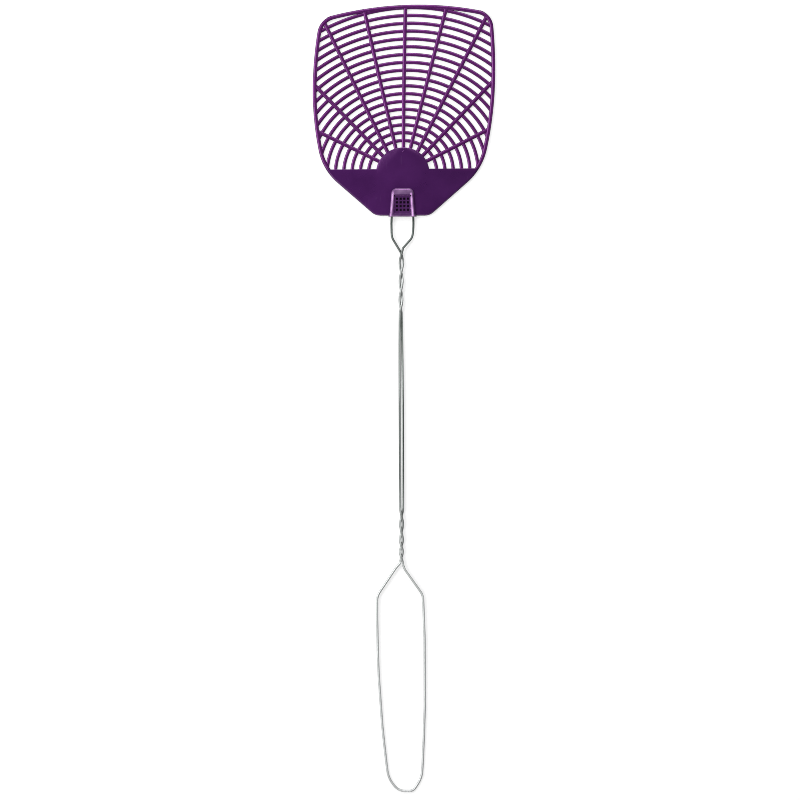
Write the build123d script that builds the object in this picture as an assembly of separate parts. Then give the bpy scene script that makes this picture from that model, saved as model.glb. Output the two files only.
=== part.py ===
from build123d import *
from math import atan2, ceil, cos, radians, sin, sqrt, tan
import os

# FLY SWATTER, in millimetres.
# It lies on its back: +Y runs from the hand loop to the blade's far edge, +X is to the right, and
# +Z is up, out of the blade's ribbed face. The origin is the middle of the underside of the box
# around the whole. There are two pieces: a moulded blade, and a handle made of one steel wire
# bent double, whose two ends push into the blade's pocket.

# ---- Where the blade's own centre line and neck line stand in the swatter
NECK_X = -0.9
NECK_Y = 110.1

# ---- Blade outline: u runs right from the blade's centre line, v runs up from its neck line
HALF_WIDTH = 54.7            # at the widest height
WIDEST_V = 80.0
UPPER_SIDE_R = 255.0
LOWER_SIDE_R = 200.0
CROWN_V = 126.0
CROWN_R = 204.0
FOOT_U = 16.3                # where slanted edge and foot would meet
FOOT_V = -0.4
SLANT = 41.2                 # degrees from the foot up to the slanted edge
CORNER_R = 11.5
SHOULDER_R = 36.0
FOOT_R = 8.2
EDGE_ROUND = 0.4
LEAN = 1.4e-4                # the moulding has set with a slight lean to the right, per mm of v
SKEW = 3.0e-4                # and with its right corner a little higher than its left

# ---- Thicknesses, all from the flat back at z = 0
PLATE_T = 1.9                # rim, solid plate and hub
SPOKE_T = 1.6
RING_T = 1.25

# ---- Grille
RIM_W = 2.3
GRILLE_V = 27.6              # the solid plate ends here and the grille starts
RING_V = 25.4                # common centre of the ring bars
RING_FLATTENING = 1.06       # the rings are this much wider than they are tall
HUB_R = 16.0
FIRST_RING_R = 20.45
RING_PITCH = 4.967
RING_COUNT = 19
RING_W = 2.0
SPOKE_W = 2.25
SPOKE_CREST_W = 1.5
SMALLEST_OPENING = 0.5       # square mm: the rim swallows anything smaller
SPOKE_ROOT_V = 23.7          # centre of the circle that the spokes spring from
SPOKE_ROOT_R = 23.4
# Spokes, left to right: (degrees round that circle where it springs from, degrees that it slants).
SPOKES = (
    (-60.1, -63.4), (-44.9, -43.6), (-31.0, -26.6), (-14.4, -14.0), (0.7, -0.5),
    (14.9, 13.3), (30.2, 26.6), (44.8, 43.6), (60.5, 63.4),
)
GATE_V = 38.4                # the moulding gate's small scar on the hub
GATE_R = 1.0
GATE_RISE = 0.3

# ---- Pocket for the wire's prongs
POCKET_MOUTH_V = -1.0
POCKET_END_V = 16.0
POCKET_MOUTH_HALF = 7.85
POCKET_TAPER = 0.08          # the pocket and the prongs close in by this much per mm of v
POCKET_CORNER_R = 2.8
POCKET_T = 3.6
POCKET_SLOPE_V = 12.2        # the sloping end starts here
PANEL_HALF = 4.9
PANEL_LOW_V = 0.9
PANEL_HIGH_V = 11.7
PANEL_T = 2.95
HOLE = 1.3
HOLE_PITCH = 2.22
HOLES_PER_SIDE = 4
HOLES_V = 6.35
FIT = 0.05                   # clearance round the wire

# ---- Wire
WIRE_D = 1.3
WIRE_Z = 1.65                # height of the twists' axis and of the prongs
PRONG_TIP_V = 11.5
PRONG_HALF = 6.6             # half the distance between the prongs at the mouth
TWIST_STEP = 60.0            # degrees between those corners
BEND_SHARE = 0.45            # how much of the shorter run a gentle bend takes
LOOP_END_Z = WIRE_D / 2      # the hand loop dips until its far end touches the table
LOOP_END_Y = -235.35

# Axis of the twisted and straight pair: (y, x). The shaft isn't quite straight.
AXIS = ((92.0, -1.45), (50.0, -1.95), (0.0, -1.65), (-60.0, -1.35), (-101.0, -1.6))

# From that axis to a strand's middle: (y, distance). The twists are tighter than the shaft.
APART = ((92.0, 1.05), (81.0, 1.05), (70.0, 0.92), (51.3, 0.86), (46.0, 0.95), (-60.0, 0.95), (-68.0, 0.88))

# How far round the axis the right-hand strand has gone: (y, degrees). It winds twice below the
# fork, lies beside the other strand along the shaft, and winds back twice above the loop.
WINDING = ((90.2, 30.0), (51.3, 672.0), (2.1, 720.0), (-65.7, 720.0), (-85.0, 360.0), (-98.9, 0.0))

# Fork, from the pocket's mouth to the first crossing: (x, y, bend radius).
FORK_RIGHT = ((5.6, 101.0, None), (4.9, 96.4, 6.5))
FORK_LEFT = ((-7.5, 101.0, None), (-7.3, 96.6, 8.0))

# Hand loop from the twist round to the twist again: (x, y, bend radius). None is a gentle bend.
LOOP = (
    (0.3, -102.3, None),
    (11.4, -117.9, 9.0),
    (13.1, -164.0, None),
    (11.7, -209.7, None),
    (10.7, -227.4, 16.0),
    (5.5, LOOP_END_Y, 4.0),
    (-3.4, LOOP_END_Y, 8.0),
    (-9.4, -227.6, 16.0),
    (-11.4, -212.1, None),
    (-14.6, -180.3, None),
    (-16.1, -141.9, None),
    (-16.1, -118.4, 9.0),
    (-4.6, -101.2, None),
)


# ---------------------------------------------------------------- blade: its own coordinates
def settled(point):
    """Place in the swatter of a blade point (u, v), after the moulding's slight set."""
    u, v = point
    return Vector(NECK_X + u + LEAN * v * v, NECK_Y + v * (1 + SKEW * u))


def side_u(v, inset):
    """Half the blade's width at height v on its long side arcs, this far inside the edge."""
    radius = UPPER_SIDE_R if v > WIDEST_V else LOWER_SIDE_R
    return HALF_WIDTH - radius + sqrt((radius - inset) ** 2 - (v - WIDEST_V) ** 2)


def foot_corner(inset):
    """Where the slanted edge and the foot meet."""
    slant = radians(SLANT)
    return (FOOT_U - inset * (1 - cos(slant)) / sin(slant), FOOT_V + inset)


def shoulder_corner(inset):
    """Where the slanted edge, a straight line, meets the lower side arc."""
    slant = radians(SLANT)
    u, v = foot_corner(inset)
    from_centre_u = u - (HALF_WIDTH - LOWER_SIDE_R)
    from_centre_v = v - WIDEST_V
    b = from_centre_u * cos(slant) + from_centre_v * sin(slant)
    c = from_centre_u ** 2 + from_centre_v ** 2 - (LOWER_SIDE_R - inset) ** 2
    run = sqrt(b * b - c) - b
    return (u + run * cos(slant), v + run * sin(slant))


def top_corner(inset):
    """Where the upper side arc meets the crown, another arc."""
    side = UPPER_SIDE_R - inset
    crown = CROWN_R - inset
    du = UPPER_SIDE_R - HALF_WIDTH
    dv = CROWN_V - CROWN_R - WIDEST_V
    apart = sqrt(du * du + dv * dv)
    along = (side * side - crown * crown + apart * apart) / (2 * apart)
    across = sqrt(side * side - along * along)
    return (-du + (along * du - across * dv) / apart, WIDEST_V + (along * dv + across * du) / apart)


def arc(start, middle, end):
    return ThreePointArc(settled(start), settled(middle), settled(end))


def line(start, end):
    return Line(settled(start), settled(end))


def side_edges(hand, inset):
    """Slanted edge and side arcs of one side, from the foot up: hand is 1 right, -1 left."""
    foot_u, foot_v = foot_corner(inset)
    shoulder_u, shoulder_v = shoulder_corner(inset)
    top_u, top_v = top_corner(inset)
    low_v = (shoulder_v + WIDEST_V) / 2
    high_v = (top_v + WIDEST_V) / 2
    shoulder = (hand * shoulder_u, shoulder_v)
    widest = (hand * (HALF_WIDTH - inset), WIDEST_V)
    return [
        line((hand * foot_u, foot_v), shoulder),
        arc(shoulder, (hand * side_u(low_v, inset), low_v), widest),
        arc(widest, (hand * side_u(high_v, inset), high_v), (hand * top_u, top_v)),
    ]


def blade_outline(inset=0.0):
    """Face of the blade's outline, or of one this far inside it, with its six corners rounded."""
    foot_u, foot_v = foot_corner(inset)
    top_u, top_v = top_corner(inset)
    foot = line((-foot_u, foot_v), (foot_u, foot_v))
    crown = arc((-top_u, top_v), (0, CROWN_V - inset), (top_u, top_v))
    face = make_face([foot, *side_edges(1, inset), crown, *side_edges(-1, inset)]).face()
    roundings = (
        (top_corner(inset), CORNER_R),
        (shoulder_corner(inset), SHOULDER_R),
        (foot_corner(inset), FOOT_R),
    )
    for (u, v), radius in roundings:
        for hand in (-1, 1):
            vertex = face.vertices().sort_by_distance(settled((hand * u, v)))[0]
            face = face.fillet_2d(radius - inset, [vertex])
    return face


# ---------------------------------------------------------------- blade: grille
def ring_radius(k):
    return FIRST_RING_R + RING_PITCH * k


def on_ring(radius, turn):
    """Point of a ring at an angle from straight up, positive to the right."""
    return (radius * sin(turn), RING_V + radius * cos(turn) / RING_FLATTENING)


def ring_turn(point):
    u, v = point
    return atan2(u, (v - RING_V) * RING_FLATTENING)


def sector_lines():
    """The lines between the grille's sectors, left to right: (u, v, slant, half width)."""
    lines = [(0.0, GRILLE_V, radians(-90), 0.0)]
    for root, slant in SPOKES:
        u = SPOKE_ROOT_R * sin(radians(root))
        v = SPOKE_ROOT_V + SPOKE_ROOT_R * cos(radians(root))
        lines.append((u, v, radians(slant), SPOKE_W / 2))
    lines.append((0.0, GRILLE_V, radians(90), 0.0))
    return lines


def crossing(sector_line, shift, radius):
    """Where a line, shifted sideways to its right, crosses a ring of this radius."""
    u, v, slant, _ = sector_line
    u += shift * cos(slant)
    v -= shift * sin(slant)
    du = sin(slant)
    dw = cos(slant) * RING_FLATTENING
    w = (v - RING_V) * RING_FLATTENING
    a = du * du + dw * dw
    b = u * du + w * dw
    c = u * u + w * w - radius * radius
    t = (-b + sqrt(b * b - a * c)) / a
    return (u + t * du, v + t * cos(slant))


def ring_arc(start, end, radius):
    middle = (ring_turn(start) + ring_turn(end)) / 2
    return arc(start, on_ring(radius, middle), end)


def cell(left, right, inner, outer):
    """Opening between two sector lines and two ring radii."""
    a = crossing(left, left[3], inner)
    b = crossing(right, -right[3], inner)
    c = crossing(right, -right[3], outer)
    d = crossing(left, left[3], outer)
    return make_face([ring_arc(a, b, inner), line(b, c), ring_arc(c, d, outer), line(d, a)]).face()


def openings(field):
    """All the grille's openings, clipped to the field inside the rim."""
    lines = sector_lines()
    found = []
    for k in range(-1, RING_COUNT - 1):
        inner = HUB_R if k < 0 else ring_radius(k) + RING_W / 2
        outer = ring_radius(k + 1) - RING_W / 2
        for left, right in zip(lines, lines[1:]):
            clipped = cell(left, right, inner, outer) & field
            if clipped:
                found.extend(face for face in clipped.faces() if face.area > SMALLEST_OPENING)
    return found


def spoke_crests(field):
    """Tops of the spokes, which stand a little above the ring bars they cross."""
    crests = []
    for spoke in sector_lines()[1:-1]:
        half = SPOKE_CREST_W / 2
        ends = [crossing(spoke, shift, r) for shift in (-half, half) for r in (HUB_R, 120.0)]
        middles = [crossing(spoke, shift, 70.0) for shift in (-half, half)]
        face = make_face([
            arc(ends[0], middles[0], ends[1]),
            line(ends[1], ends[3]),
            arc(ends[3], middles[1], ends[2]),
            line(ends[2], ends[0]),
        ]).face()
        crests.extend((face & field).faces())
    return crests


def hub_face():
    turn = ring_turn(crossing(sector_lines()[-1], 0, HUB_R))
    left, right = on_ring(HUB_R, -turn), on_ring(HUB_R, turn)
    return make_face([arc(left, on_ring(HUB_R, 0), right), line(right, left)]).face()


# ---------------------------------------------------------------- blade: pocket
def pocket_half(v):
    return POCKET_MOUTH_HALF - POCKET_TAPER * (v - POCKET_MOUTH_V)


def prong_half(v):
    return PRONG_HALF - POCKET_TAPER * (v - POCKET_MOUTH_V)


def pocket_body():
    """The raised sleeve, rounded in plan and sloping down at its far end."""
    mouth = pocket_half(POCKET_MOUTH_V)
    end = pocket_half(POCKET_END_V)
    plan = make_face(Polyline(
        (-mouth, POCKET_MOUTH_V), (mouth, POCKET_MOUTH_V),
        (end, POCKET_END_V), (-end, POCKET_END_V), close=True,
    )).face()
    plan = plan.fillet_2d(POCKET_CORNER_R, plan.vertices().group_by(Axis.Y)[-1])
    side = Plane.YZ * make_face(Polyline(
        (POCKET_MOUTH_V, 0), (POCKET_END_V, 0), (POCKET_END_V, PLATE_T - EDGE_ROUND),
        (POCKET_SLOPE_V, POCKET_T), (POCKET_MOUTH_V, POCKET_T), close=True,
    ))
    body = extrude(plan, POCKET_T) & extrude(side, POCKET_MOUTH_HALF, both=True)
    panel_v = (PANEL_LOW_V + PANEL_HIGH_V) / 2
    recess = Pos(0, panel_v, (PANEL_T + POCKET_T) / 2 + 0.5) * Box(
        2 * PANEL_HALF, PANEL_HIGH_V - PANEL_LOW_V, POCKET_T - PANEL_T + 1.0)
    return body - recess


def pocket_cavity():
    """Room for the prongs: one flat sleeve that widens towards its mouth."""
    ends = []
    for v in (POCKET_MOUTH_V - 1.0, PRONG_TIP_V + 0.3):
        plane = Plane(origin=(0, v, WIRE_Z), x_dir=(1, 0, 0), z_dir=(0, -1, 0))
        height = WIRE_D + 2 * FIT
        ends.append(plane * SlotOverall(2 * prong_half(v) + height, height))
    return loft(ends)


def pocket_holes():
    size = Box(HOLE, HOLE, POCKET_T)
    grid = GridLocations(HOLE_PITCH, HOLE_PITCH, HOLES_PER_SIDE, HOLES_PER_SIDE)
    return [Pos(0, HOLES_V, WIRE_Z + POCKET_T / 2) * place * size for place in grid]


# ---------------------------------------------------------------- blade: whole
def blade():
    outline = blade_outline()
    inside_rim = blade_outline(RIM_W)
    far = 80.0
    above = make_face([
        line((-far, GRILLE_V), (far, GRILLE_V)),
        line((far, GRILLE_V), (far, 2 * far)),
        line((far, 2 * far), (-far, 2 * far)),
        line((-far, 2 * far), (-far, GRILLE_V)),
    ]).face()
    field = (inside_rim & above).face()

    frame = extrude(outline - field + hub_face(), PLATE_T)
    rim_edges = frame.edges().filter_by_position(Axis.Z, PLATE_T, PLATE_T)
    outer_edges = [e for e in rim_edges if outline.outer_wire().distance_to(e.center()) < PLATE_T + 0.1]
    frame = fillet(outer_edges, EDGE_ROUND)
    rings = extrude(outline - openings(field), RING_T)
    crests = [extrude(face, SPOKE_T) for face in spoke_crests(field)]

    gate = Pos(0, GATE_V, PLATE_T + GATE_RISE - GATE_R) * Sphere(GATE_R)
    at_neck = Pos(NECK_X, NECK_Y, 0)
    whole = frame + rings + crests + at_neck * pocket_body() + at_neck * gate
    whole -= at_neck * pocket_cavity()
    whole -= [at_neck * hole for hole in pocket_holes()]
    return whole


# ---------------------------------------------------------------- wire handle
def along(stations, y):
    """Straight-line value between stations given as (y, value), from high y to low."""
    for (y0, a), (y1, b) in zip(stations, stations[1:]):
        if y >= y1:
            return a + (b - a) * (y - y0) / (y1 - y0)
    return stations[-1][1]


def beside_axis(y, turn):
    """Middle of a strand that has gone this far round the axis."""
    r = along(APART, y)
    return (along(AXIS, y) + r * cos(turn), y, WIRE_Z + r * sin(turn))


def strand(start_turn, left_out=0):
    """Corners of one strand's route down both twists and the shaft between them.

    The first few corners can be left out, where a strand only joins the twist further down.
    """
    points = []
    for (y0, turn0), (y1, turn1) in zip(WINDING, WINDING[1:]):
        steps = max(1, ceil(abs(turn1 - turn0) / TWIST_STEP))
        for i in range(steps):
            y = y0 + (y1 - y0) * i / steps
            turn = radians(start_turn + turn0 + (turn1 - turn0) * i / steps)
            points.append(beside_axis(y, turn))
    points.append(beside_axis(WINDING[-1][0], radians(start_turn + WINDING[-1][1])))
    return [(p, None) for p in points[left_out:]]


def prong(hand):
    """A prong's two points: its tip inside the pocket, and where it leaves the mouth."""
    tip = (NECK_X + hand * prong_half(PRONG_TIP_V), NECK_Y + PRONG_TIP_V, WIRE_Z)
    mouth_v = POCKET_MOUTH_V - 0.5
    mouth = (NECK_X + hand * prong_half(mouth_v), NECK_Y + mouth_v, WIRE_Z)
    return [(tip, None), (mouth, None)]


def loop_z(y):
    """Height of the hand loop, which dips from the twist to the table."""
    top = WINDING[-1][0]
    return WIRE_Z + (LOOP_END_Z - WIRE_Z) * (top - y) / (top - LOOP_END_Y)


def wire_route():
    """Corners of the whole wire, from the right prong's tip to the left one's: (point, radius)."""
    right = prong(1) + [((x, y, WIRE_Z), r) for x, y, r in FORK_RIGHT] + strand(0)
    left = prong(-1) + [((x, y, WIRE_Z), r) for x, y, r in FORK_LEFT] + strand(180, left_out=1)
    loop = [((x, y, loop_z(y)), r) for x, y, r in LOOP]
    return right + loop + left[::-1]


def bend_radii(route):
    """Radius at every inner corner: the stated one, or as large as its two runs allow."""
    radii = []
    for (p, _), (q, stated), (r, _) in zip(route, route[1:], route[2:]):
        before = Vector(*q) - Vector(*p)
        after = Vector(*r) - Vector(*q)
        half_turn = radians(before.get_angle(after)) / 2
        room = BEND_SHARE * min(before.length, after.length) / tan(half_turn)
        radii.append(room if stated is None else min(stated, room))
    return radii


def wire_handle():
    route = wire_route()
    path = FilletPolyline(*[point for point, _ in route], radius=bend_radii(route))
    section = Plane(origin=path @ 0, z_dir=path % 0) * Circle(WIRE_D / 2)
    tube = sweep(section, path=path)
    expected = section.area * path.length
    print(f"wire: {path.length:.1f} mm long, volume {tube.volume:.1f} against {expected:.1f}")
    return tube


# ---------------------------------------------------------------- files
def write_parts():
    os.makedirs("parts", exist_ok=True)
    for name, shape in (("blade", blade()), ("wire_handle", wire_handle())):
        solid = shape.solid()
        solid.label = name
        box = solid.bounding_box()
        print(f"{name}: x {box.min.X:.2f} to {box.max.X:.2f}, y {box.min.Y:.2f} to {box.max.Y:.2f}, "
              f"z {box.min.Z:.2f} to {box.max.Z:.2f}, {len(shape.solids())} solid")
        export_step(solid, f"parts/{name}.step")


write_parts()
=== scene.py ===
# %% [markdown]
# # A fly swatter, built in Blender
# A wire-handled fly swatter has two pieces. The blade is one thin plastic moulding with ring bars
# crossed by spokes. The handle is one steel wire, bent double and twisted, whose two ends push into
# a pocket on the blade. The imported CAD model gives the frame: where each piece is and what it moves
# with. Here each piece is made again with the soft roundings that a mould and a bending machine
# leave, because those roundings are what catch the light.

# %% The frame and the tools
from math import atan2, ceil, cos, pi, radians, sin, sqrt, tan

import bmesh
import bpy
import numpy as np
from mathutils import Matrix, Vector


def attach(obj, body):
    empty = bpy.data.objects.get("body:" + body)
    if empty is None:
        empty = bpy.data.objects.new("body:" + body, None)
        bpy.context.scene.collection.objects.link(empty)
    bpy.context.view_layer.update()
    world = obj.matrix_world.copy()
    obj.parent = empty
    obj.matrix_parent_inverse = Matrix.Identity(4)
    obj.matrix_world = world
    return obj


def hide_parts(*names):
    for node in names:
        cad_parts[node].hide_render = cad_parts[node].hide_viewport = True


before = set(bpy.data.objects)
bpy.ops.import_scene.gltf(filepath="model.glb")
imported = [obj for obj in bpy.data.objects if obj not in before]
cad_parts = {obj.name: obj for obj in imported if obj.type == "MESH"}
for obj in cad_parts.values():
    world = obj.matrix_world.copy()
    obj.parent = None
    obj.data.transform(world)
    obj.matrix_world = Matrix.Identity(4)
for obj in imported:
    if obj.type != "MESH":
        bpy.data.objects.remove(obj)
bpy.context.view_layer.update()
MM = 0.001

# %% [markdown]
# ## The camera
# The swatter lies flat and is seen from straight above. A long lens far away leaves hardly any
# perspective, as a catalogue picture has it.

# %% Camera
VIEW_CENTRE = (-2.4, -0.9)
VIEW_WIDTH = 480.0
LENS = 200.0

camera = bpy.data.objects.new("camera", bpy.data.cameras.new("camera"))
bpy.context.collection.objects.link(camera)
camera.data.lens = LENS
camera.data.clip_end = 20.0
height = VIEW_WIDTH * LENS / camera.data.sensor_width
camera.location = (VIEW_CENTRE[0] * MM, VIEW_CENTRE[1] * MM, height * MM)
bpy.context.scene.camera = camera
print("camera height, m:", round(camera.location.z, 3))

# %% [markdown]
# ## Making a piece from points
# Every shape below is a list of points in millimetres and a list of faces. One helper turns them
# into a Blender object in metres and makes all its faces look outwards.

# %% Points and faces to an object
def piece(name, points, faces):
    mesh = bpy.data.meshes.new(name)
    mesh.from_pydata([tuple(c * MM for c in p) for p in points], [], faces)
    shell = bmesh.new()
    shell.from_mesh(mesh)
    bmesh.ops.recalc_face_normals(shell, faces=shell.faces)
    shell.to_mesh(mesh)
    shell.free()
    obj = bpy.data.objects.new(name, mesh)
    bpy.context.collection.objects.link(obj)
    return obj


def skin(rings, closed=False):
    """Faces between rings of points that all have the same count, with an end face on each end."""
    count = len(rings[0])
    faces = []
    for i in range(len(rings) if closed else len(rings) - 1):
        a = i * count
        b = (i + 1) % len(rings) * count
        for j in range(count):
            k = (j + 1) % count
            faces.append((a + j, a + k, b + k, b + j))
    if not closed:
        faces.append(tuple(range(count)))
        faces.append(tuple(range((len(rings) - 1) * count, len(rings) * count)))
    return [point for ring in rings for point in ring], faces


# %% [markdown]
# ## The blade's own coordinates
# The blade is drawn in its own coordinates: u to the right of its centre line and v up from its
# neck. Soft plastic never lies quite true once it has cooled, so one small rule sets every point
# down with a slight lean. Changing that rule changes the whole blade at once.

# %% Where a blade point lies
NECK_X, NECK_Y = -0.9, 110.1
LEAN, SKEW = 1.4e-4, 3.0e-4


def settled(u, v):
    return NECK_X + u + LEAN * v * v, NECK_Y + v * (1 + SKEW * u)


# %% [markdown]
# ## The outline
# The edge of the blade is a chain of circular arcs that flow into each other. Each arc is given by
# its centre, its radius and the directions it runs between, and where two directions differ the
# gap closes with a straight line. To move the whole outline inwards only the radii shrink, which
# is how the rounded edge further down gets its steps.

# %% Outline as a chain of arcs
HALF_WIDTH, WIDEST_V = 54.7, 80.0
UPPER_SIDE_R, LOWER_SIDE_R = 255.0, 200.0
CROWN_V, CROWN_R = 126.0, 204.0
FOOT_U, FOOT_V, SLANT = 16.3, -0.4, radians(41.2)
CORNER_R, SHOULDER_R, FOOT_R = 11.5, 36.0, 8.2
UPPER_CENTRE = np.array((HALF_WIDTH - UPPER_SIDE_R, WIDEST_V))
LOWER_CENTRE = np.array((HALF_WIDTH - LOWER_SIDE_R, WIDEST_V))
CROWN_CENTRE = np.array((0.0, CROWN_V - CROWN_R))


def two_arcs_meet(centre_a, radius_a, centre_b, radius_b):
    """Where two circles cross, on the left of the way from the first centre to the second."""
    between = centre_b - centre_a
    apart = np.hypot(*between)
    along = (radius_a ** 2 - radius_b ** 2 + apart ** 2) / (2 * apart)
    across = sqrt(radius_a ** 2 - along ** 2)
    ahead = between / apart
    return centre_a + along * ahead + across * np.array((-ahead[1], ahead[0]))


def line_and_arc_meet(start, slant, centre, radius):
    ahead = np.array((cos(slant), sin(slant)))
    offset = start - centre
    b = offset @ ahead
    return start + ahead * (sqrt(b * b - offset @ offset + radius ** 2) - b)


def foot_centre(r):
    return np.array((FOOT_U - r * (1 - cos(SLANT)) / sin(SLANT), FOOT_V + r))


def direction(centre, point):
    return atan2(point[1] - centre[1], point[0] - centre[0])


def outline_arcs():
    """(centre, radius, from, to) of each arc of the right half, from the foot to the crown's top."""
    corner = two_arcs_meet(UPPER_CENTRE, UPPER_SIDE_R - CORNER_R, CROWN_CENTRE, CROWN_R - CORNER_R)
    shoulder = line_and_arc_meet(foot_centre(SHOULDER_R), SLANT, LOWER_CENTRE, LOWER_SIDE_R - SHOULDER_R)
    slanted = SLANT - pi / 2
    lower = direction(LOWER_CENTRE, shoulder)
    upper = direction(UPPER_CENTRE, corner)
    crown = direction(CROWN_CENTRE, corner)
    return (
        (foot_centre(FOOT_R), FOOT_R, -pi / 2, slanted),
        (shoulder, SHOULDER_R, slanted, lower),
        (LOWER_CENTRE, LOWER_SIDE_R, lower, 0.0),
        (UPPER_CENTRE, UPPER_SIDE_R, 0.0, upper),
        (corner, CORNER_R, upper, crown),
        (CROWN_CENTRE, CROWN_R, crown, pi / 2),
    )


def outline(inset, step=1.2):
    """Points of the outline this far inside the edge, and the outward direction at each."""
    right = []
    for centre, radius, start, end in outline_arcs():
        count = max(3, ceil(radius * abs(end - start) / step))
        for turn in np.linspace(start, end, count):
            out = np.array((cos(turn), sin(turn)))
            point = (*(centre + (radius - inset) * out), *out)
            if not right or np.hypot(*(np.array(right[-1]) - point)[:2]) > 0.05:
                right.append(point)
    left = [(-u, v, -a, b) for u, v, a, b in right[::-1] if u > 0.05]
    return np.array(right + left)


EDGE = outline(0.0)
print("points round the outline:", len(EDGE))

# %% [markdown]
# ## Bars
# A moulded bar has a flat back, sides that lean in a little so that it leaves the mould, and a
# rounded top. A bevelled curve could make it, but carrying an upright profile along a flat path in
# code keeps every back exactly on the table and gives each kind of bar its own section.

# %% Carry an upright profile along a flat path
RIM_W, RIM_T = 2.3, 1.9
RING_W, RING_T = 2.1, 1.25
SPOKE_W, SPOKE_T = 2.25, 1.6


def bar_profile(width, height, crown, draft=0.04):
    """Half-round-topped section: crown is how far down the side the rounding reaches."""
    half = width / 2
    top = [radians(a) for a in (0, 22, 45, 68)]
    right = [(half - 0.08, 0.0), (half, 0.08), (half - draft, height - crown)]
    right += [((half - draft) * cos(a), height - crown + crown * sin(a)) for a in top[1:]]
    return right + [(0.0, height)] + [(-s, z) for s, z in right[::-1]]


def carry(name, path, profile, closed=False):
    path = np.array([settled(u, v) for u, v in path])
    if closed:
        ahead = np.roll(path, -1, axis=0) - np.roll(path, 1, axis=0)
    else:
        ahead = np.gradient(path, axis=0)
    ahead /= np.hypot(ahead[:, 0], ahead[:, 1])[:, None]
    rings = [
        [(x + dy * side, y - dx * side, z) for side, z in profile]
        for (x, y), (dx, dy) in zip(path, ahead)
    ]
    return piece(name, *skin(rings, closed))


# %% [markdown]
# ## The rim
# The rim is one closed bar just inside the blade's edge. It is the piece that all the others are
# joined to, so it comes first.

# %% The rim
rim = carry("rim", outline(RIM_W / 2)[:, :2], bar_profile(RIM_W, RIM_T, 0.62), closed=True)
moulding = [rim]
print("points in the rim:", len(rim.data.vertices))

# %% [markdown]
# ## Ring bars
# The ring bars are slightly flattened circles round one centre low in the blade, so they ripple
# outwards like sound waves. Each one is walked in small steps, and only the stretches that lie
# inside the rim are kept, so every bar ends buried in the rim.

# %% Ring bars
GRILLE_V, RING_V, RING_FLATTENING = 27.6, 25.4, 1.06
FIRST_RING_R, RING_PITCH, RING_COUNT = 20.45, 4.967, 19
HUB_R = 16.0
RING_STEP = 1.0


def on_ring(radius, turn):
    return radius * sin(turn), RING_V + radius * cos(turn) / RING_FLATTENING


def depth(u, v):
    """How far points are inside the blade's edge: the outline is convex, so the nearest tangent."""
    u, v = np.asarray(u)[..., None], np.asarray(v)[..., None]
    return np.min((EDGE[:, 0] - u) * EDGE[:, 2] + (EDGE[:, 1] - v) * EDGE[:, 3], axis=-1)


def ring_runs(radius):
    """The stretches of one ring that lie inside the rim and above the solid plate."""
    runs, run = [], []
    steps = ceil(radius * pi / RING_STEP)
    for turn in np.linspace(-pi / 2, pi / 2, steps):
        u, v = on_ring(radius, turn)
        if v > GRILLE_V - 0.8 and depth(u, v) > RIM_W / 2 - 0.4:
            run.append((u, v))
        elif run:
            runs.append(run)
            run = []
    return [r for r in runs + [run] if len(r) > 3]


ring_profile = bar_profile(RING_W, RING_T, 0.5)
for k in range(RING_COUNT):
    for i, run in enumerate(ring_runs(FIRST_RING_R + RING_PITCH * k)):
        moulding.append(carry(f"ring_{k}_{i}", run, ring_profile))
print("ring bar stretches:", len(moulding) - 1)

# %% [markdown]
# ## Spokes
# Nine spokes fan out from the hub. They are a little wider and taller than the ring bars, so they
# run over them, which shows as a small step at every crossing.

# %% Spokes
SPOKE_ROOT_V, SPOKE_ROOT_R = 23.7, 23.4
SPOKES = (                   # (where on the root circle it springs from, how it slants), in degrees
    (-60.1, -63.4), (-44.9, -43.6), (-31.0, -26.6), (-14.4, -14.0), (0.7, -0.5),
    (14.9, 13.3), (30.2, 26.6), (44.8, 43.6), (60.5, 63.4),
)


def spoke_path(root, slant):
    u0 = SPOKE_ROOT_R * sin(radians(root))
    v0 = SPOKE_ROOT_V + SPOKE_ROOT_R * cos(radians(root))
    path = []
    for run in np.arange(-10.0, 120.0, 1.5):
        u, v = u0 + run * sin(radians(slant)), v0 + run * cos(radians(slant))
        if np.hypot(u, (v - RING_V) * RING_FLATTENING) > HUB_R - 1.2 and depth(u, v) > RIM_W / 2 - 0.3:
            path.append((u, v))
    return path


spoke_profile = bar_profile(SPOKE_W, SPOKE_T, 0.42, draft=0.12)
for i, spoke in enumerate(SPOKES):
    moulding.append(carry(f"spoke_{i}", spoke_path(*spoke), spoke_profile))
print("spokes:", len(SPOKES))

# %% [markdown]
# ## Solid plate, hub and gate
# The lower part of the blade is solid, to carry the pocket, and a round hub grows out of it under
# the spokes. Both are slabs whose top edge rounds over in a few steps. On the hub sits the little
# scar where the plastic entered the mould.

# %% Plate, hub and gate scar
PLATE_T = 1.9
EDGE_STEPS = ((0.0, 0.0), (0.0, -0.3), (0.09, -0.09), (0.3, 0.0))   # (inset, height below the top)
GATE_U, GATE_V = -0.1, 38.5


def slab(name, loop_at):
    """A flat slab from a function that gives its edge loop at an inset."""
    rings = []
    for i, (inset, below) in enumerate(EDGE_STEPS):
        z = PLATE_T + below if i else 0.0
        rings.append([(*settled(u, v), z) for u, v in loop_at(inset)])
    return piece(name, *skin(rings))


def plate_loop(inset):
    edge = [(u, v) for u, v, _, _ in outline(RIM_W / 2, 1.0) if v < GRILLE_V - 0.4]
    right = [(u, v) for u, v in edge if u > 0]
    left = [(u, v) for u, v in edge if u <= 0]
    top = GRILLE_V - inset
    return right + [(right[-1][0] + 0.3, top), (left[0][0] - 0.3, top)] + left


def hub_loop(inset):
    turns = np.linspace(radians(100), radians(-100), 72)
    return [on_ring(HUB_R - inset, turn) for turn in turns]


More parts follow.
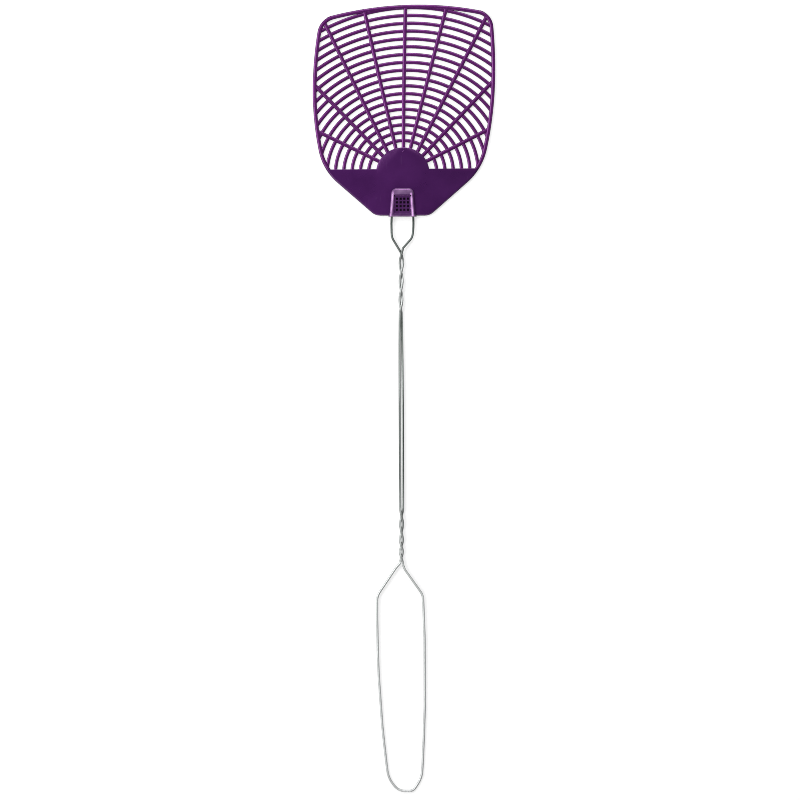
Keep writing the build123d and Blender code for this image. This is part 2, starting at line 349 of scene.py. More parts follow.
def button(name, u, v, profile, count=20):
    x, y = settled(u, v)
    turns = [2 * pi * i / count for i in range(count)]
    return piece(name, *skin([[(x + r * cos(a), y + r * sin(a), z) for a in turns] for r, z in profile]))


moulding.append(slab("plate", plate_loop))
moulding.append(slab("hub", hub_loop))
gate_profile = ((0.95, 1.6), (0.95, 1.97), (0.86, 2.05), (0.62, 2.07), (0.5, 2.0), (0.3, 2.0), (0.22, 2.16))
moulding.append(button("gate", GATE_U, GATE_V, gate_profile))

# %% [markdown]
# ## The pocket
# The pocket holds the wire's two prongs. Over each prong the plastic rises as a half-round ridge.
# Between the ridges lies a sunken panel, at the mouth the cover drops to a thin lip, and the far
# end rounds off. A shape that blends like this is easiest as a height map: for every point of a
# grid, one formula says how high the surface stands, and smooth steps blend its parts together.

# %% Height of the pocket's surface
MOUTH_V, END_V, END_R = -1.0, 16.0, 2.8
LEVEL = 1.8                  # just under the plate's face, where the pocket grows out of it
PRONG_HALF, TAPER = 6.6, 0.08
RIDGE_R, FLARE = 1.25, 0.6
POCKET_T, COVER_Z, PANEL_Z, WIRE_Z = 3.58, 3.2, 2.66, 1.65
CROWNING = 0.05              # how much the cover rises per mm inwards
LIP_DROP = 0.3
PANEL_HALF, PANEL_LOW, PANEL_HIGH = 4.95, 0.9, 11.9


def prong_half(v):
    return PRONG_HALF - TAPER * (v - MOUTH_V)


def smooth_step(x, start, end):
    t = np.clip((x - start) / (end - start), 0, 1)
    return t * t * (3 - 2 * t)


def ridge_half(v):
    """Half a ridge's width, which flares where the ridge runs out at the mouth."""
    return RIDGE_R + FLARE * smooth_step(-v, -1.6, 1.0)


def pocket_half(v):
    """Half the pocket's width: ridges along the prongs, rounded off at the far end."""
    past = np.clip(v - (END_V - END_R), 0, END_R)
    return prong_half(v) + ridge_half(v) - (END_R - np.sqrt(END_R ** 2 - past ** 2))


def from_edge(u, v):
    """How far a point is inside the pocket's edge, measured square to the rounded corners."""
    side = np.maximum(END_R - (prong_half(v) + ridge_half(v) - np.abs(u)), 0)
    end = np.maximum(END_R - (END_V - v), 0)
    return END_R - np.hypot(side, end)


def quarter_round(x):
    return np.sqrt(1 - (1 - np.clip(x, 0, 1)) ** 2)


def pocket_height(u, v):
    """Edge rounding, then a cover that rises gently inwards, less the panel, plus the ridges."""
    inside = from_edge(u, v)
    cover = LEVEL + (COVER_Z - LEVEL) * quarter_round(inside / RIDGE_R)
    cover = cover + CROWNING * np.clip(inside, 0, 4)
    on_panel = smooth_step(-np.abs(u), -PANEL_HALF - 0.25, -PANEL_HALF + 0.1)
    on_panel = on_panel * smooth_step(v, PANEL_LOW - 0.15, PANEL_LOW + 0.25)
    on_panel = on_panel * smooth_step(-v, -PANEL_HIGH - 0.1, -PANEL_HIGH + 0.5)
    lip = LIP_DROP * smooth_step(-v, -0.2, 0.9) * smooth_step(-np.abs(u), -5.4, -4.6)
    floor = cover + (PANEL_Z - cover) * on_panel - lip
    across = np.clip(np.abs(np.abs(u) - prong_half(v)) / ridge_half(v), 0, 1)
    ridge = LEVEL + (POCKET_T - LEVEL) * np.sqrt(1 - across ** 2)
    ridge = ridge * smooth_step(-v, -END_V + 0.6, -END_V + 3.4)
    limit = LEVEL + (POCKET_T - LEVEL) * quarter_round(inside / RIDGE_R)
    return np.maximum(floor, np.minimum(ridge, limit))


# %% [markdown]
# ## The pocket's solid and its hollows
# The height map becomes a closed solid by walking back underneath each row. The room for the wire
# is a flat slot with round sides, as tall as the wire with a little play, so the prongs slide in
# it without touching. The sixteen square holes and two round pits reach down to the middle of it.

# %% The pocket's solid, its cavity and its holes
HOLE, HOLE_PITCH, HOLES_PER_SIDE, HOLES_V = 1.4, 2.22, 4, 6.35
PIT_U, PIT_V, PIT_R = 4.85, 11.35, 0.42
SLOT_R = 0.72


def pocket():
    """A closed shell: rows run up the pocket, and each row goes over the top and back underneath."""
    rows = []
    for v in np.concatenate((np.linspace(MOUTH_V, END_V - 1, 84), END_V - np.geomspace(0.85, 0.01, 9))):
        u = pocket_half(v) * np.sin(np.linspace(-pi / 2, pi / 2, 101))
        z = pocket_height(u, v)
        over = [(*settled(a, v), c) for a, c in zip(u, z)]
        rows.append(over + [(*settled(u[-1], v), 0.0), (*settled(u[0], v), 0.0)])
    return piece("pocket", *skin(rows))


def cavity():
    """The room for the wire: a flat slot with round sides, a little wider at the mouth."""
    rings = []
    for v in (MOUTH_V - 1.0, 11.8):
        half = prong_half(v)
        turns = [radians(a) for a in range(-90, 91, 18)]
        right = [(half + SLOT_R * cos(a), WIRE_Z + SLOT_R * sin(a)) for a in turns]
        loop = right + [(-s, z) for s, z in right[::-1]]
        rings.append([(*settled(s, v), z) for s, z in loop])
    return piece("cavity", *skin(rings))


def tapered_hole(name, u, v, low=WIRE_Z):
    rings = []
    for z, half in ((low, HOLE / 2 - 0.05), (4.2, HOLE / 2 + 0.04)):
        corners = ((-half, -half), (half, -half), (half, half), (-half, half))
        rings.append([(*settled(u + a, v + b), z) for a, b in corners])
    return piece(name, *skin(rings))


moulding.append(pocket())
cuts = [cavity()]
for row in range(HOLES_PER_SIDE):
    for column in range(HOLES_PER_SIDE):
        u = (column - 1.5) * HOLE_PITCH
        v = HOLES_V + (row - 1.5) * HOLE_PITCH
        cuts.append(tapered_hole(f"hole_{row}_{column}", u, v))
for hand in (-1, 1):
    cuts.append(button(f"pit_{hand + 1}", hand * PIT_U, PIT_V, ((PIT_R, WIRE_Z), (PIT_R, 4.2)), 12))
print("parts to join:", len(moulding), "parts to cut away:", len(cuts))

# %% [markdown]
# ## One moulding
# The bars, rim, slabs and pocket are joined with a Boolean modifier into one watertight skin, as a
# mould fills in one shot. Its Manifold solver is quick and needs closed parts, which these all
# are. A second one cuts the cavity and the holes. The loose parts are then removed.

# %% Join, cut and smooth
def gather(name, objects):
    group = bpy.data.collections.new(name)
    for obj in objects:
        group.objects.link(obj)
    return group


def combine(obj, operation, others):
    group = gather("operands", others)
    modifier = obj.modifiers.new(operation, "BOOLEAN")
    modifier.operation = operation
    modifier.solver = "MANIFOLD"
    modifier.operand_type = "COLLECTION"
    modifier.collection = group
    depsgraph = bpy.context.evaluated_depsgraph_get()
    mesh = bpy.data.meshes.new_from_object(obj.evaluated_get(depsgraph))
    obj.modifiers.clear()
    obj.data = mesh
    bpy.data.collections.remove(group)
    for other in others:
        bpy.data.objects.remove(other)


def smooth(mesh, angle):
    mesh.shade_smooth()
    mesh.set_sharp_from_angle(angle=radians(angle))


blade = moulding[0]
combine(blade, "UNION", moulding[1:])
combine(blade, "DIFFERENCE", cuts)
blade.name = "moulded_blade"
blade.data.name = "moulded_blade"
smooth(blade.data, 34)
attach(blade, "blade")
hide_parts("blade")
print("blade faces:", len(blade.data.polygons))

# %% [markdown]
# ## Thin and thick, open and deep
# Thin bars of this plastic let some light through, and that light is painted into their colour: they
# are coloured redder than the thick plate. The insides of the holes get painted shade, a near-black
# colour. Which is which follows from where each point is, so it is written into the mesh as attributes
# that the material can read. The first is "thin": 1 on the bars, and fading to 0 on the plate.

# %% Mark the thin parts of the blade
def mark(obj, name, values, kind="FLOAT"):
    attribute = obj.data.attributes.new(name, kind, "POINT")
    field = "value" if kind == "FLOAT" else "vector"
    attribute.data.foreach_set(field, np.asarray(values, dtype=np.float32).ravel())


points = np.empty(len(blade.data.vertices) * 3)
blade.data.vertices.foreach_get("co", points)
points = points.reshape(-1, 3) / MM
v = points[:, 1] - NECK_Y
u = points[:, 0] - NECK_X - LEAN * v * v
from_hub = np.hypot(u, (v - RING_V) * RING_FLATTENING) - HUB_R
thin = smooth_step(v, GRILLE_V - 0.4, GRILLE_V + 0.8) * smooth_step(from_hub, -0.4, 0.8)
mark(blade, "thin", thin)
print("thin share of the blade's points:", round(float(thin.mean()), 3))

# %% [markdown]
# ## Painted highlights and painted shade
# The pocket gets a pale painted highlight where the lamps catch it: on the left flank and the crest of each
# ridge, at the far end and along the mouth. The plate's own edge gets a faint painted highlight too. That
# mask runs from 0 to 1. "deep" is 1 inside the holes and the slot, where the material paints shade.

# %% Mark the painted highlights and the holes' painted shade
up = points[:, 2]
inside = from_edge(u, v)
past_mouth = v > MOUTH_V - 0.1
in_pocket = (np.abs(u) < prong_half(v) + 1.1) & past_mouth & (v < PANEL_HIGH + 0.1)
on_pocket = (np.abs(u) < pocket_half(v) + 0.1) & past_mouth & (v < END_V)
right_of_crest = np.sign(u) * (np.abs(u) - prong_half(v))
# Painted highlight: the left flank and the crest of each ridge are painted pale.
painted_flank_highlight = smooth_step(right_of_crest, -1.3, -0.9) * smooth_step(-right_of_crest, -0.55, -0.05)
painted_flank_highlight = painted_flank_highlight * smooth_step(-v, -14.8, -12.5)
# Painted highlight on the slope at the far end.
painted_end_highlight = (0.47 - 0.16 * smooth_step(inside, 0.9, 4.2)) * smooth_step(v, PANEL_HIGH - 0.1, PANEL_HIGH + 0.8)
# Painted highlight along the mouth.
painted_mouth_highlight = 0.75 * smooth_step(-v, 0.3, 0.8) * (up > 2.0)
painted_highlight = np.maximum(np.maximum(painted_flank_highlight, painted_end_highlight), np.maximum(painted_mouth_highlight, 0.04))
painted_highlight = on_pocket * painted_highlight * smooth_step(up, PLATE_T + 0.05, 2.6)
# Painted highlight along the plate's lower edge.
painted_edge_highlight = 0.2 * smooth_step(-depth(u, v), -0.75, -0.3) * (v < GRILLE_V - 3)
painted_edge_highlight = painted_edge_highlight * smooth_step(up, 0.7, 1.3)
# Painted shade mask: 1 inside the holes and the slot, which the material paints nearly black.
deep = in_pocket * smooth_step(-up, -PANEL_Z + 0.05, -PANEL_Z + 0.5) * (up > 0.3)
mark(blade, "painted_highlight", np.maximum(painted_highlight, painted_edge_highlight))
mark(blade, "deep", deep)
print("points rubbed:", int((painted_highlight > 0.3).sum()), "points deep:", int((deep > 0.5).sum()))

# %% [markdown]
# ## The wire's route
# The handle is one wire from prong to prong. Its route is a list of corners, each with the radius
# that the bender gave it: down the fork, nearly twice round its partner, straight down the shaft,
# twice back the other way, round the hand loop and home again by the other strand.

# %% Corners of the route
WIRE_D = 1.3
TWIST_STEP = 12.0
PRONG_TIP_V = 11.5
LOOP_END_Y = -235.35
# Stations from the blade downwards: (y, x of the twists' axis), then (y, how far each strand's
# middle lies from that axis), then (y, degrees wound so far).
AXIS = ((92.0, -1.45), (50.0, -1.95), (0.0, -1.65), (-60.0, -1.35), (-101.0, -1.6))
APART = (
    (92.0, 1.0), (82.0, 0.98), (72.0, 0.84), (51.3, 0.78), (46.0, 0.91), (-60.0, 0.91), (-68.0, 0.80),
)
WINDING = ((90.2, 30.0), (51.3, 672.0), (2.1, 720.0), (-65.7, 720.0), (-85.0, 360.0), (-98.9, 0.0))
FORK_RIGHT = ((5.6, 101.0, None), (4.9, 96.4, 6.5))
FORK_LEFT = ((-7.5, 101.0, None), (-7.3, 96.6, 8.0))
LOOP = (
    (0.3, -102.3, None), (11.4, -117.9, 9.0), (13.1, -164.0, None), (11.7, -209.7, None),
    (10.7, -227.4, 16.0), (5.5, LOOP_END_Y, 4.0), (-3.4, LOOP_END_Y, 8.0), (-9.4, -227.6, 16.0),
    (-11.4, -212.1, None), (-14.6, -180.3, None), (-16.1, -141.9, None), (-16.1, -118.4, 9.0),
    (-4.6, -101.2, None),
)


def along(stations, y):
    for (y0, a), (y1, b) in zip(stations, stations[1:]):
        if y >= y1:
            return a + (b - a) * (y - y0) / (y1 - y0)
    return stations[-1][1]


def strand(start_turn, skipped=0):
    """Corners of one strand round the twists, with the first few left out."""
    corners = []
    for (y0, turn0), (y1, turn1) in zip(WINDING, WINDING[1:]):
        steps = max(2, ceil(abs(turn1 - turn0) / TWIST_STEP))
        for i in range(steps + (y1 == WINDING[-1][0])):
            y = y0 + (y1 - y0) * i / steps
            turn = radians(start_turn + turn0 + (turn1 - turn0) * i / steps)
            apart = along(APART, y)
            corners.append((along(AXIS, y) + apart * cos(turn), y, WIRE_Z + apart * sin(turn)))
    return [(Vector(c), None) for c in corners[skipped:]]


def prong(hand):
    ends = []
    for v in (PRONG_TIP_V, MOUTH_V - 0.5):
        ends.append((Vector((NECK_X + hand * prong_half(v), NECK_Y + v, WIRE_Z)), None))
    return ends


def loop_z(y):
    """The hand loop dips from the twist until its far end rests on the table."""
    top = WINDING[-1][0]
    return WIRE_Z + (WIRE_D / 2 - WIRE_Z) * (top - y) / (top - LOOP_END_Y)


def wire_route():
    right = prong(1) + [(Vector((x, y, WIRE_Z)), r) for x, y, r in FORK_RIGHT] + strand(0)
    left = prong(-1) + [(Vector((x, y, WIRE_Z)), r) for x, y, r in FORK_LEFT] + strand(180, skipped=4)
    loop = [(Vector((x, y, loop_z(y))), r) for x, y, r in LOOP]
    return right + loop + left[::-1]


# %% [markdown]
# ## Rounding the corners
# Stiff steel keeps crisp arcs between straight runs, so every corner gets a true arc. Where no
# radius is given, or too little room is left for it, the arc takes a share of the shorter run.

# %% Round the corners
BEND_SHARE = 0.45
BEND_STEP = 7.0


def rounded(route):
    """Points along the route: straight runs, and a true arc at every corner."""
    points = [route[0][0]]
    for (before, _), (corner, radius), (after, _) in zip(route, route[1:], route[2:]):
        back = (before - corner).normalized()
        ahead = (after - corner).normalized()
        half_turn = (pi - back.angle(ahead)) / 2
        room = BEND_SHARE * min((before - corner).length, (after - corner).length)
        reach = room if radius is None else min(room, radius * tan(half_turn))
        start, end = corner + back * reach, corner + ahead * reach
        count = max(1, ceil(2 * half_turn / radians(BEND_STEP)))
        for i in range(count + 1):
            t = i / count
            weight = 2 * cos(half_turn) * t * (1 - t)
            total = (1 - t) ** 2 + weight + t * t
            points.append((start * (1 - t) ** 2 + corner * weight + end * t * t) / total)
    points.append(route[-1][0])
    return points


centre_line = rounded(wire_route())
length = sum((b - a).length for a, b in zip(centre_line, centre_line[1:]))
print("wire length, mm:", round(length, 1), "points:", len(centre_line))

# %% [markdown]
# ## The wire
# A curve with a round bevel would give the tube in one line. The tube is made point by point here
# for two reasons: the material needs to know how far along and how far round the wire each point
# is, so that drawing marks run along it, and which way the other strand lies, so that painted shade can
# darken the crevices. Each ring of points is turned as little as possible from the last.

# %% Tube along the route
AROUND = 20


def tube_rings(line):
    """Rings round the line, the distance along at each, and the outward direction of each point."""
    normal = Vector((0, 0, 1))
    rings, outs, travelled = [], [], [0.0]
    for i, point in enumerate(line):
        ahead = (line[min(i + 1, len(line) - 1)] - line[max(i - 1, 0)]).normalized()
        normal = (normal - ahead * normal.dot(ahead)).normalized()
        side = ahead.cross(normal)
        turns = [2 * pi * j / AROUND for j in range(AROUND)]
        out = [normal * cos(a) + side * sin(a) for a in turns]
        outs.append(out)
        rings.append([point + o * WIRE_D / 2 for o in out])
        if i:
            travelled.append(travelled[-1] + (point - line[i - 1]).length)
    return rings, outs, travelled


def cut_ends(rings, line):
    """A sheared end has a small rounded edge: each end ring gets a smaller one beyond it."""
    first = [line[0] + (p - line[0]) * 0.8 + (line[0] - line[1]).normalized() * 0.12 for p in rings[0]]
    end = [line[-1] + (p - line[-1]) * 0.8 + (line[-1] - line[-2]).normalized() * 0.12 for p in rings[-1]]
    return [first] + rings + [end]


rings, outs, travelled = tube_rings(centre_line)
points, faces = skin([[tuple(p) for p in ring] for ring in cut_ends(rings, centre_line)])
wire = piece("twisted_wire", points, faces)
smooth(wire.data, 50)
print("rings along the wire:", len(rings))

# %% [markdown]
# ## Place on the wire
# Three attributes go with the tube. "inner" tells which way the other strand lies, "shaft" is 1
# between the two twists, and "drawing" is a place on a long cylinder. Noise looked up there comes
# out as streaks along the wire, because that cylinder is squeezed lengthways.

# %% Place on the wire, and which way the other strand lies
def towards_other(point, out):
    """1 where a point of a strand faces the other strand, -1 where it faces away, 0 elsewhere."""
    x, y, z = point
    if not -98.0 < y < 92.0:
        return 0.0
    inwards = Vector((along(AXIS, y) - x, 0, WIRE_Z - z))
    near = 1 - min(max((inwards.length - 1.1) / 1.0, 0), 1)
    return out.dot(inwards.normalized()) * near


ends_outs = [outs[0]] + outs + [outs[-1]]
ends_rings = [rings[0]] + rings + [rings[-1]]
ends_along = [travelled[0]] + travelled + [travelled[-1]]
inner, shaft, drawing = [], [], []
for out, ring, far in zip(ends_outs, ends_rings, ends_along):
    centre = sum(ring, Vector()) / AROUND
    on_shaft = smooth_step(centre.y, -67.0, -58.0) * smooth_step(-centre.y, -3.0, 2.0)
    inner += [towards_other(centre, o) for o in out]
    shaft += [on_shaft] * AROUND
    for j in range(AROUND):
        turn = 2 * pi * j / AROUND
        drawing.append((3 * cos(turn), 3 * sin(turn), 0.12 * far))
mark(wire, "inner", inner)
mark(wire, "shaft", shaft)
mark(wire, "drawing", drawing, "FLOAT_VECTOR")
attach(wire, "handle")
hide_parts("wire_handle")
print("wire faces:", len(wire.data.polygons))

# %% [markdown]
# ## Node helpers
# A material is a small network. These helpers add a node, set its values and join sockets, so that
# each material below reads as a short list of what it does.

# %% Node helpers
def add(tree, kind, **values):
    """A new node. Values named after inputs set those inputs; others set the node's own settings."""
    node = tree.nodes.new(kind)
    for name, value in values.items():
        label = name.replace("_", " ")
        sockets = [s for s in node.inputs if s.name.lower() == label.lower() and s.enabled]
        if sockets:
            target = sockets[0]
            if isinstance(value, bpy.types.NodeSocket):
                tree.links.new(value, target)
            else:
                target.default_value = value
        else:
            setattr(node, name, value)
    return node


def math(tree, operation, a, b=0.0, c=0.0):
    node = tree.nodes.new("ShaderNodeMath")
    node.operation = operation
    for socket, value in zip(node.inputs, (a, b, c)):
        if isinstance(value, bpy.types.NodeSocket):
            tree.links.new(value, socket)
        else:
            socket.default_value = value
    return node.outputs[0]


def ramp(tree, factor, *stops):
    """A colour ramp: stops are (position, colour) or (position, grey)."""
    node = tree.nodes.new("ShaderNodeValToRGB")
    tree.links.new(factor, node.inputs[0])
    elements = node.color_ramp.elements
    while len(elements) < len(stops):
        elements.new(0.5)
    for element, (position, value) in zip(elements, stops):
        element.position = position
        element.color = (value, value, value, 1) if isinstance(value, float) else (*value, 1)
    return node.outputs[0]


def mix(tree, factor, a, b, blend="MIX"):
    node = tree.nodes.new("ShaderNodeMix")
    node.data_type = "RGBA"
    node.blend_type = blend
    for socket, value in zip((node.inputs[0], node.inputs[6], node.inputs[7]), (factor, a, b)):
        if isinstance(value, bpy.types.NodeSocket):
            tree.links.new(value, socket)
        else:
            socket.default_value = value if isinstance(value, float) else (*value, 1)
    return node.outputs[2]


def new_material(name, obj):
    material = bpy.data.materials.new(name)
    material.use_nodes = True
    obj.data.materials.clear()
    obj.data.materials.append(material)
    tree = material.node_tree
    return tree, tree.nodes["Principled BSDF"]


# %% [markdown]
# ## Handling marks, shared by both finishes
# Plastic and wire both pick up a mottled bloom from handling, and the plastic fine scuffs too.
# That is one node group with its own scale, placed in both materials: it gives a cloudy mask and a
# mask of thin lines, and each material takes what it needs.

# %% Handling marks group
def handling_marks():
    group = bpy.data.node_groups.new("handling_marks", "ShaderNodeTree")
    vector = group.interface.new_socket("Position", in_out="INPUT", socket_type="NodeSocketVector")
    scale = group.interface.new_socket("Size", in_out="INPUT", socket_type="NodeSocketFloat")
    scale.default_value = 100.0
    vector.default_value = (0, 0, 0)
    group.interface.new_socket("Bloom", in_out="OUTPUT", socket_type="NodeSocketFloat")
    group.interface.new_socket("Scuffs", in_out="OUTPUT", socket_type="NodeSocketFloat")
    entry = group.nodes.new("NodeGroupInput")
    leave = group.nodes.new("NodeGroupOutput")
    cloud = add(group, "ShaderNodeTexNoise", Vector=entry.outputs["Position"],
                Scale=entry.outputs["Size"], Detail=5.0, Roughness=0.6)
    bend = add(group, "ShaderNodeTexNoise", Vector=entry.outputs["Position"],
               Scale=entry.outputs["Size"], Detail=2.0)
    lines = []
    for turn in (0.5, 2.1):
        lay = add(group, "ShaderNodeMapping", Vector=entry.outputs["Position"],
                  Rotation=(0, 0, turn), Scale=(14.0, 0.7, 1.0))
        hair = add(group, "ShaderNodeTexNoise", Vector=lay.outputs[0], Scale=entry.outputs["Size"])
        lines.append(math(group, "GREATER_THAN", hair.outputs[0], 0.68))
    sparse = math(group, "GREATER_THAN", bend.outputs[0], 0.5)
    group.links.new(cloud.outputs[0], leave.inputs["Bloom"])
    group.links.new(math(group, "MULTIPLY", math(group, "MAXIMUM", *lines), sparse), leave.inputs["Scuffs"])
    return group


marks_group = handling_marks()


def marks(tree, size):
    node = tree.nodes.new("ShaderNodeGroup")
    node.node_tree = marks_group
    where = tree.nodes.new("ShaderNodeTexCoord")
    tree.links.new(where.outputs["Object"], node.inputs["Position"])
    node.inputs["Size"].default_value = size
    return node, where.outputs["Object"]


# %% [markdown]
# ## Purple plastic
# The blade is polyethylene, purple right through, with the satin face of a blasted mould. Its
# colour drifts in clouds and darkens slightly towards the right. The thin bars are painted redder, for
# light that shines through them, and they are duller. The pocket and the plate's edge carry pale painted
# highlights, unevenly so, and the holes are painted nearly black as painted shade. The colour is
# layered in that order, from the plain plastic outwards.

# %% Colour of the plastic
tree, plastic = new_material("purple_plastic", blade)
plastic_marks, position = marks(tree, 35.0)
thin_mask = add(tree, "ShaderNodeAttribute", attribute_name="thin").outputs["Fac"]
hole_shade_mask = add(tree, "ShaderNodeAttribute", attribute_name="deep").outputs["Fac"]
across = add(tree, "ShaderNodeSeparateXYZ", Vector=position).outputs["X"]
drift = math(tree, "MULTIPLY_ADD", across, -4.0, plastic_marks.outputs["Bloom"])
thick = ramp(tree, drift, (0.3, (0.028, 0.0040, 0.046)), (0.7, (0.041, 0.0058, 0.066)))
bloom = plastic_marks.outputs["Bloom"]
# Painted transmitted light: the thin bars get a redder, lighter colour for the light that shines through
# them.
bars = ramp(tree, bloom, (0.3, (0.048, 0.0014, 0.060)), (0.7, (0.056, 0.0018, 0.069)))
# Painted highlight: pale lilac on the pocket and the plate's edge, broken up by noise.
painted_highlight_place = add(tree, "ShaderNodeAttribute", attribute_name="painted_highlight").outputs["Fac"]
uneven = add(tree, "ShaderNodeTexNoise", Vector=position, Scale=240.0, Detail=1.0).outputs[0]
painted_highlight_mask = math(tree, "MULTIPLY", painted_highlight_place, ramp(tree, uneven, (0.35, 0.62), (0.62, 1.0)))
plastic_with_painted_light = mix(tree, painted_highlight_mask, mix(tree, thin_mask, thick, bars), (0.38, 0.24, 0.42))
# Painted shade: the holes and the slot are painted nearly black.
body = mix(tree, hole_shade_mask, plastic_with_painted_light, (0.004, 0.001, 0.007))
faint_scuffs = math(tree, "MULTIPLY", plastic_marks.outputs["Scuffs"], 0.02)
scuffed = mix(tree, faint_scuffs, body, (0.45, 0.28, 0.52))
tree.links.new(scuffed, plastic.inputs["Base Color"])
print("nodes for the plastic's colour:", len(tree.nodes))

# %% [markdown]
# ## Surface of the plastic
# The thick parts are glossier than the bars. A very fine grain and a slow waviness in the height
# break up the reflections. The gloss itself is tinted purple, which keeps the thin bars from
# turning grey where they reflect a bright panel.

# %% Surface of the plastic
thick_dull = ramp(tree, bloom, (0.3, 0.25), (0.7, 0.33))
dull = mix(tree, thin_mask, thick_dull, (0.38, 0.38, 0.38))
tree.links.new(dull, plastic.inputs["Roughness"])
grain = add(tree, "ShaderNodeTexNoise", Vector=position, Scale=2600.0, Detail=2.0)
waves = add(tree, "ShaderNodeTexNoise", Vector=position, Scale=110.0, Detail=1.0)
surface = math(tree, "MULTIPLY_ADD", grain.outputs[0], 0.12, waves.outputs[0])
bump = add(tree, "ShaderNodeBump", Strength=0.35, Distance=0.0001, Height=surface)
tree.links.new(bump.outputs[0], plastic.inputs["Normal"])
plastic.inputs["IOR"].default_value = 1.5
plastic.inputs["Specular IOR Level"].default_value = 0.9
plastic.inputs["Specular Tint"].default_value = (0.92, 0.36, 1.0, 1)
print("nodes for the whole plastic:", len(tree.nodes))

# %% [markdown]
# ## Galvanised wire
# The wire is drawn steel with a thin zinc skin. Drawing leaves faint lines along it, so the noise
# is stretched along the wire's own length. Its colour is painted along its length as painted light and
# shade: dark green-grey near the blade, mid grey down the shaft, bright in the upper twist and the loop.
# The outer sides of the shaft are painted darker as painted shade, while the groove between its two
# strands keeps the bright colour. In the twists painted shade fills the crevices and lightly darkens
# the parts that stand out.

# %% Colour of the wire
tree, zinc = new_material("galvanised_wire", wire)
zinc_marks, position = marks(tree, 60.0)
inner_side = add(tree, "ShaderNodeAttribute", attribute_name="inner").outputs["Fac"]
shaft_mask = add(tree, "ShaderNodeAttribute", attribute_name="shaft").outputs["Fac"]
drawing_place = add(tree, "ShaderNodeAttribute", attribute_name="drawing").outputs["Vector"]
drawn = add(tree, "ShaderNodeTexNoise", Vector=drawing_place, Scale=1.6, Detail=3.0).outputs[0]
height_y = add(tree, "ShaderNodeSeparateXYZ", Vector=position).outputs["Y"]
up_wire = add(tree, "ShaderNodeMapRange", Value=height_y, From_Min=-0.24, From_Max=0.122).outputs[0]
# Painted light and shade along the wire: dark near the blade, mid grey on the shaft, bright in the upper
# twist and the loop.
light_and_shade_along_wire = ramp(
    tree, up_wire,
    (0.00, (0.62, 0.63, 0.63)), (0.40, (0.60, 0.62, 0.61)), (0.48, (0.34, 0.36, 0.35)),
    (0.79, (0.27, 0.30, 0.28)), (0.82, (0.58, 0.60, 0.59)), (0.88, (0.56, 0.58, 0.57)),
    (0.905, (0.20, 0.22, 0.21)), (0.935, (0.10, 0.12, 0.11)), (0.955, (0.030, 0.043, 0.037)),
)
streaked = mix(tree, ramp(tree, drawn, (0.35, 0.0), (0.75, 0.3)), light_and_shade_along_wire, (0.12, 0.14, 0.13))
facing = math(tree, "MULTIPLY_ADD", inner_side, 0.5, 0.5)
# Painted shade on the shaft's outer sides, away from the other strand. The groove keeps the plain colour.
on_shaft = ramp(tree, facing, (0.25, 0.93), (0.72, 0.0))
# Painted shade in the twists' crevices and on the parts that stand out.
twist_shade = ramp(tree, facing, (0.05, 0.42), (0.35, 0.0), (0.80, 0.0), (0.97, 0.70))
painted_shade = mix(tree, shaft_mask, twist_shade, on_shaft)
shaded_zinc = mix(tree, painted_shade, streaked, (0.025, 0.032, 0.028))
tree.links.new(shaded_zinc, zinc.inputs["Base Color"])
print("nodes for the wire's colour:", len(tree.nodes))

# %% [markdown]
# ## Surface of the wire
# Weathered zinc is dull, so it is only partly metallic. The same drawing lines vary its roughness
# and its height, and the bloom dulls it in patches.

# %% Surface of the wire
zinc.inputs["Metallic"].default_value = 0.45
lines_dull = ramp(tree, drawn, (0.3, 0.34), (0.8, 0.46))
worn = mix(tree, zinc_marks.outputs["Bloom"], lines_dull, (0.50, 0.50, 0.50))
tree.links.new(worn, zinc.inputs["Roughness"])
bump = add(tree, "ShaderNodeBump", Strength=0.2, Distance=0.00005, Height=drawn)
tree.links.new(bump.outputs[0], zinc.inputs["Normal"])
print("nodes for the whole wire:", len(tree.nodes))

# %% [markdown]
# ## Floor
# A plain pale floor. The camera sees it nearly white, but to light that bounces off it, it is a
# darker grey, so the undersides of shiny wires don't fill with white.

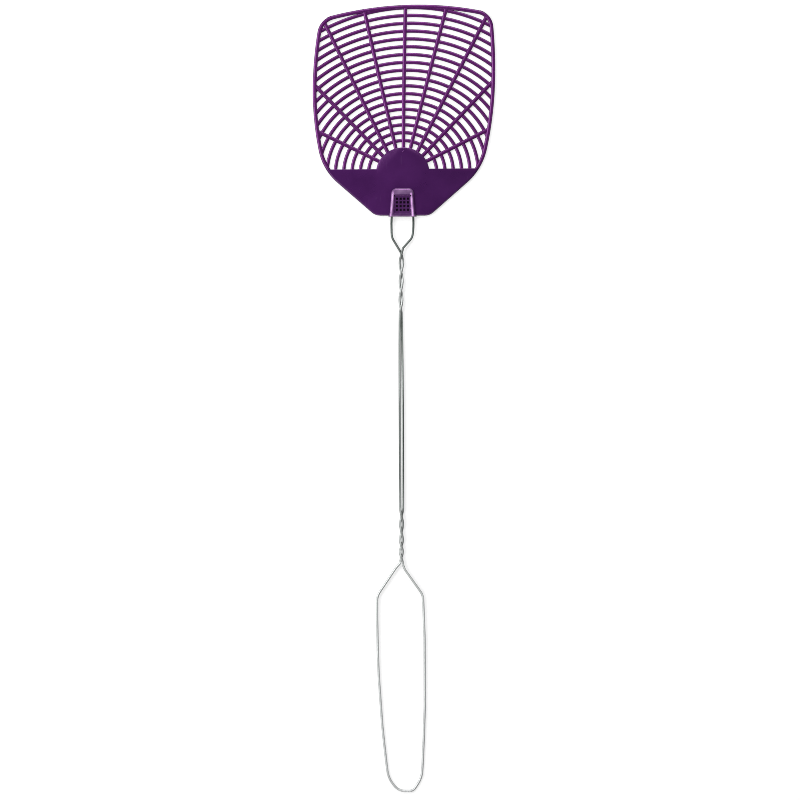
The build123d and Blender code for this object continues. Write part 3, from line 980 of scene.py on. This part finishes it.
# %% Floor
def floor():
    mesh = bpy.data.meshes.new("floor")
    half = 6.0
    corners = [(-half, -half, 0), (half, -half, 0), (half, half, 0), (-half, half, 0)]
    mesh.from_pydata(corners, [], [(0, 1, 2, 3)])
    obj = bpy.data.objects.new("floor", mesh)
    obj.location.z = -0.0001
    bpy.context.collection.objects.link(obj)
    tree, paper = new_material("floor_paper", obj)
    seen = add(tree, "ShaderNodeLightPath").outputs["Is Camera Ray"]
    tree.links.new(mix(tree, seen, (0.15, 0.15, 0.15), (0.37, 0.37, 0.37)), paper.inputs["Base Color"])
    paper.inputs["Roughness"].default_value = 0.9
    paper.inputs["Specular IOR Level"].default_value = 0.0
    paper.inputs["Emission Color"].default_value = (1, 1, 1, 1)
    tree.links.new(math(tree, "MULTIPLY", seen, 0.65), paper.inputs["Emission Strength"])


floor()


# %% [markdown]
# ## Light
# Soft light comes from four large panels round the sides, like a light tent that is open at the
# top. Seen from above, the flat plate has nothing bright to reflect and keeps its deep colour,
# while every rounded edge still finds a panel. Seen from the side, the plate reflects a panel too,
# and looks much paler.

# %% Light
def panel(name, place, size, power):
    light = bpy.data.lights.new(name, "AREA")
    light.shape = "RECTANGLE"
    light.size, light.size_y = size
    light.energy = power
    obj = bpy.data.objects.new(name, light)
    obj.location = place
    obj.rotation_euler = (-Vector(place)).to_track_quat("-Z", "Y").to_euler()
    bpy.context.collection.objects.link(obj)


panel("left_panel", (-0.94, 0.23, 0.88), (0.85, 0.98), 19.0)
panel("right_panel", (1.6, 0.1, 0.9), (0.5, 1.4), 4.5)
panel("far_panel", (0.1, 1.5, 1.15), (1.3, 0.9), 25.0)
panel("near_panel", (-0.2, -1.6, 0.8), (1.2, 0.5), 9.0)

world = bpy.data.worlds.new("studio")
bpy.context.scene.world = world
world.use_nodes = True
sky = world.node_tree.nodes["Background"]
sky.inputs["Color"].default_value = (0.93, 0.96, 1.0, 1)
sky.inputs["Strength"].default_value = 0.08
bpy.context.scene.view_settings.view_transform = "Standard"
bpy.context.scene.view_settings.look = "None"
bpy.context.scene.cycles.filter_width = 0.9
